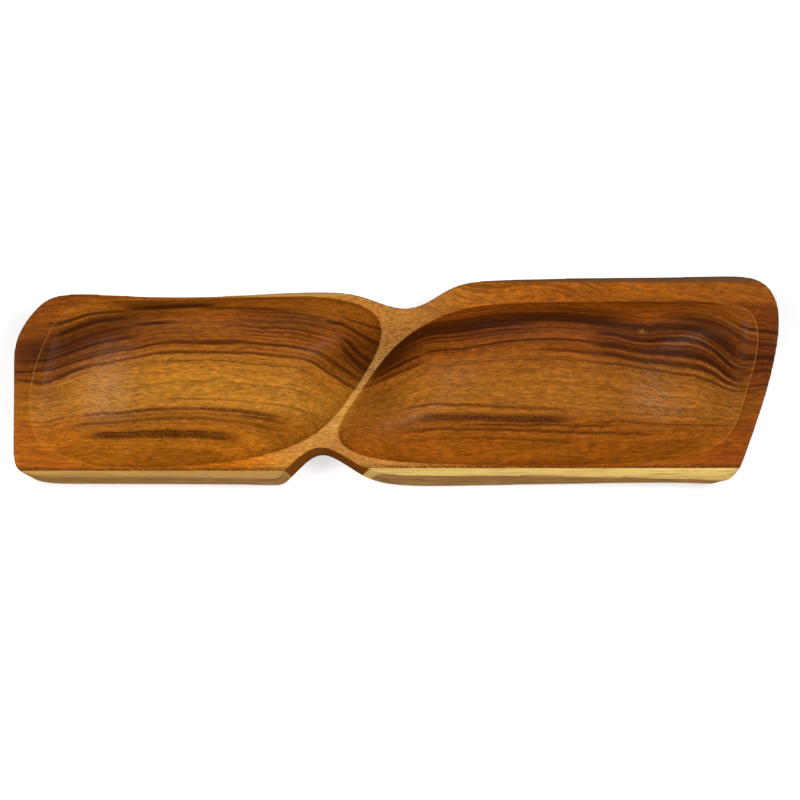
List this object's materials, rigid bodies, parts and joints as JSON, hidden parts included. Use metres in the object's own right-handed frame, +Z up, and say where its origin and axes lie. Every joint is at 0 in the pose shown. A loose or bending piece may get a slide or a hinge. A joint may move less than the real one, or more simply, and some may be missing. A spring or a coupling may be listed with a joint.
{
  "type": "appetizer dish",
  "caption": "Long carved hardwood dish: two shallow hollows side by side, parted by a narrow slanting S-shaped ridge, with a waist, a notch and a bevelled front edge.",
  "frame": {"origin": "under the middle of the dish, on the surface that it stands on", "axes": "+X along the dish towards its slanted end, +Y towards its waisted back edge, +Z up"},
  "size_m": [0.4602, 0.1239, 0.038],
  "materials": {
    "wood": "satin oil"
  },
  "bodies": {
    "root": {"dish": "wood"}
  },
  "joints": []
}
